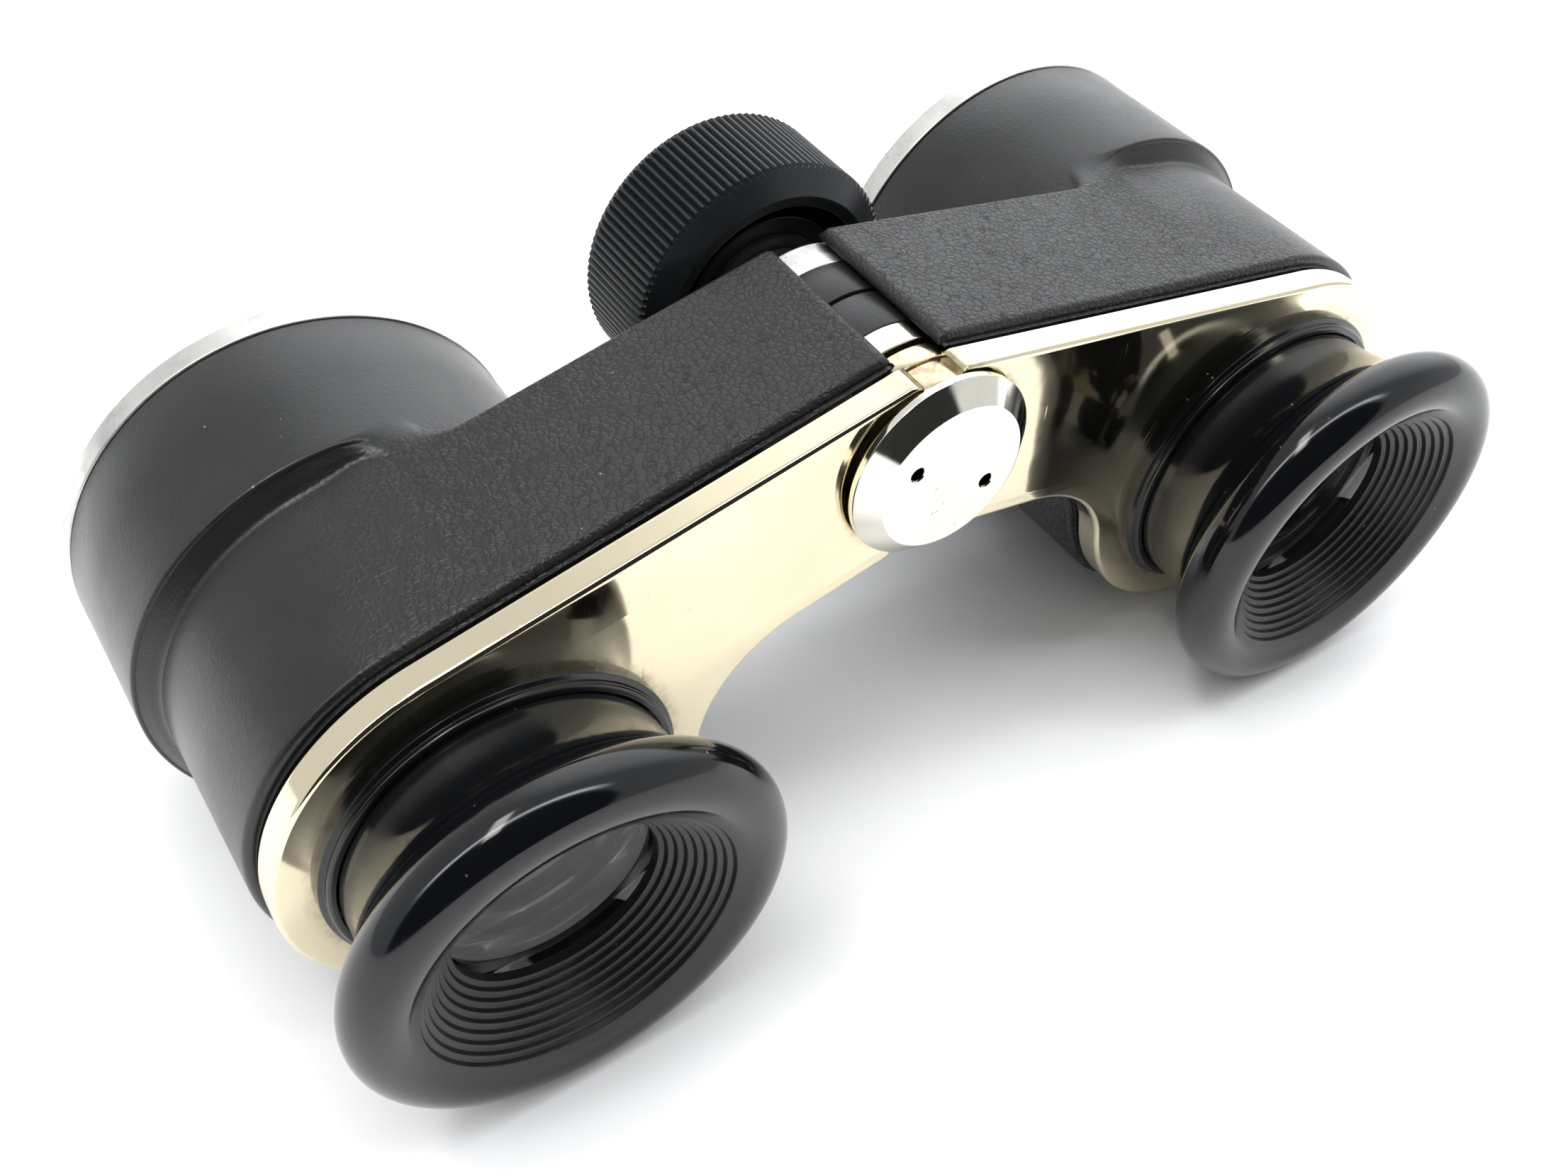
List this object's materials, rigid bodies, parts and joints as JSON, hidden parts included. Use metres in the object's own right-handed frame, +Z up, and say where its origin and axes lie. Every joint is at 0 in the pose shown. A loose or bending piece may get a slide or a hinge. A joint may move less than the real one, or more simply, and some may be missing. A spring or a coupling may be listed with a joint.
{
  "type": "folding opera-glass binoculars",
  "caption": "Compact folding opera-glass binoculars: straight-through barrels on a centre hinge, bright eyepiece plates, front focus knob and flared eyecups.",
  "frame": {"origin": "under the middle of the box at rest: on the hinge plane in X, half way from eyecups to objective rings in Y, level with the lowest point of the objective rings in Z", "axes": "+Y from the eyepieces to the objectives, +Z up through the flat tops, +X to the user's right; the hinge, the focus spindle and both optical axes are parallel to Y"},
  "size_m": [0.0996, 0.046, 0.0422],
  "materials": {
    "crackle_black": "black enamel on cast metal, fine leather grain on the arm and smooth satin on the barrel",
    "plated_nickel": "polished nickel plate, aged to a champagne tint, light pits and scratches",
    "bright_nickel": "bright turned nickel",
    "satin_aluminium": "satin turned aluminium, mottled",
    "gloss_black": "glossy black moulded plastic",
    "knob_black": "matte black with a straight knurl",
    "black_metal": "dull black enamel",
    "steel": "plain turned steel",
    "brass": "plain turned brass",
    "felt": "black felt",
    "clear_glass": "polished optical glass",
    "coated_glass": "polished optical glass with a faint blue coating"
  },
  "bodies": {
    "left_half": {"left_body": "crackle_black", "left_guide_tube": "brass", "left_dust_seal": "felt", "left_objective_cell": "black_metal", "left_objective_crown": "coated_glass", "left_objective_flint": "clear_glass", "left_objective_retainer": "black_metal", "left_objective_ring": "satin_aluminium", "hinge_tube": "steel", "front_hinge_bush": "satin_aluminium", "rear_hinge_bush": "plated_nickel", "hinge_washer": "black_metal", "keeper_screw": "steel"},
    "right_half": {"right_body": "crackle_black", "right_guide_tube": "brass", "right_dust_seal": "felt", "right_objective_cell": "black_metal", "right_objective_crown": "coated_glass", "right_objective_flint": "clear_glass", "right_objective_retainer": "black_metal", "right_objective_ring": "satin_aluminium"},
    "left_bridge": {"left_eyepiece_plate": "plated_nickel", "left_draw_tube": "steel", "left_field_stop": "black_metal", "left_collar": "gloss_black", "left_eyecup": "gloss_black", "left_eye_lens": "clear_glass", "left_eye_lens_retainer": "black_metal", "focus_spindle": "steel", "cap_washer": "black_metal", "hinge_cap": "bright_nickel"},
    "right_bridge": {"right_eyepiece_plate": "plated_nickel", "right_draw_tube": "steel", "right_field_stop": "black_metal"},
    "right_dioptre": {"right_dioptre_ring": "gloss_black"},
    "right_eyepiece": {"right_eyecup": "gloss_black", "right_eye_lens": "clear_glass", "right_eye_lens_retainer": "black_metal"},
    "knob": {"focus_knob": "knob_black", "focus_nut": "black_metal", "knob_end_plate": "knob_black"}
  },
  "joints": [
    {"name": "hinge_fold", "type": "hinge", "parent": "left_half", "child": "right_half", "pos_m": [0, 0, 0.03191], "axis": [0, 1, 0], "range_deg": [-22.5, 34]},
    {"name": "focus_turn", "type": "hinge", "parent": "left_half", "child": "knob", "pos_m": [0, 0, 0.03191], "axis": [0, 1, 0], "range_deg": [-13, 271]},
    {"name": "left_focus_slide", "type": "slide", "parent": "left_half", "child": "left_bridge", "axis": [0, -1, 0], "range_m": [-0.0002, 0.0045]},
    {"name": "right_focus_slide", "type": "slide", "parent": "right_half", "child": "right_bridge", "axis": [0, -1, 0], "range_m": [-0.00022, 0.00452]},
    {"name": "dioptre_turn", "type": "hinge", "parent": "right_bridge", "child": "right_dioptre", "pos_m": [0.03268, 0, 0.0171], "axis": [0, 1, 0], "range_deg": [-61, 61]},
    {"name": "dioptre_slide", "type": "slide", "parent": "right_bridge", "child": "right_eyepiece", "axis": [0, -1, 0], "range_m": [-0.0006, 0.0006]}
  ],
  "couplings": [
    {"joint": "focus_turn", "follows": "left_focus_slide", "rad_per_m": 1047.2},
    {"joint": "right_focus_slide", "follows": "left_focus_slide", "ratio": 1},
    {"joint": "dioptre_turn", "follows": "dioptre_slide", "rad_per_m": 1745.3}
  ]
}
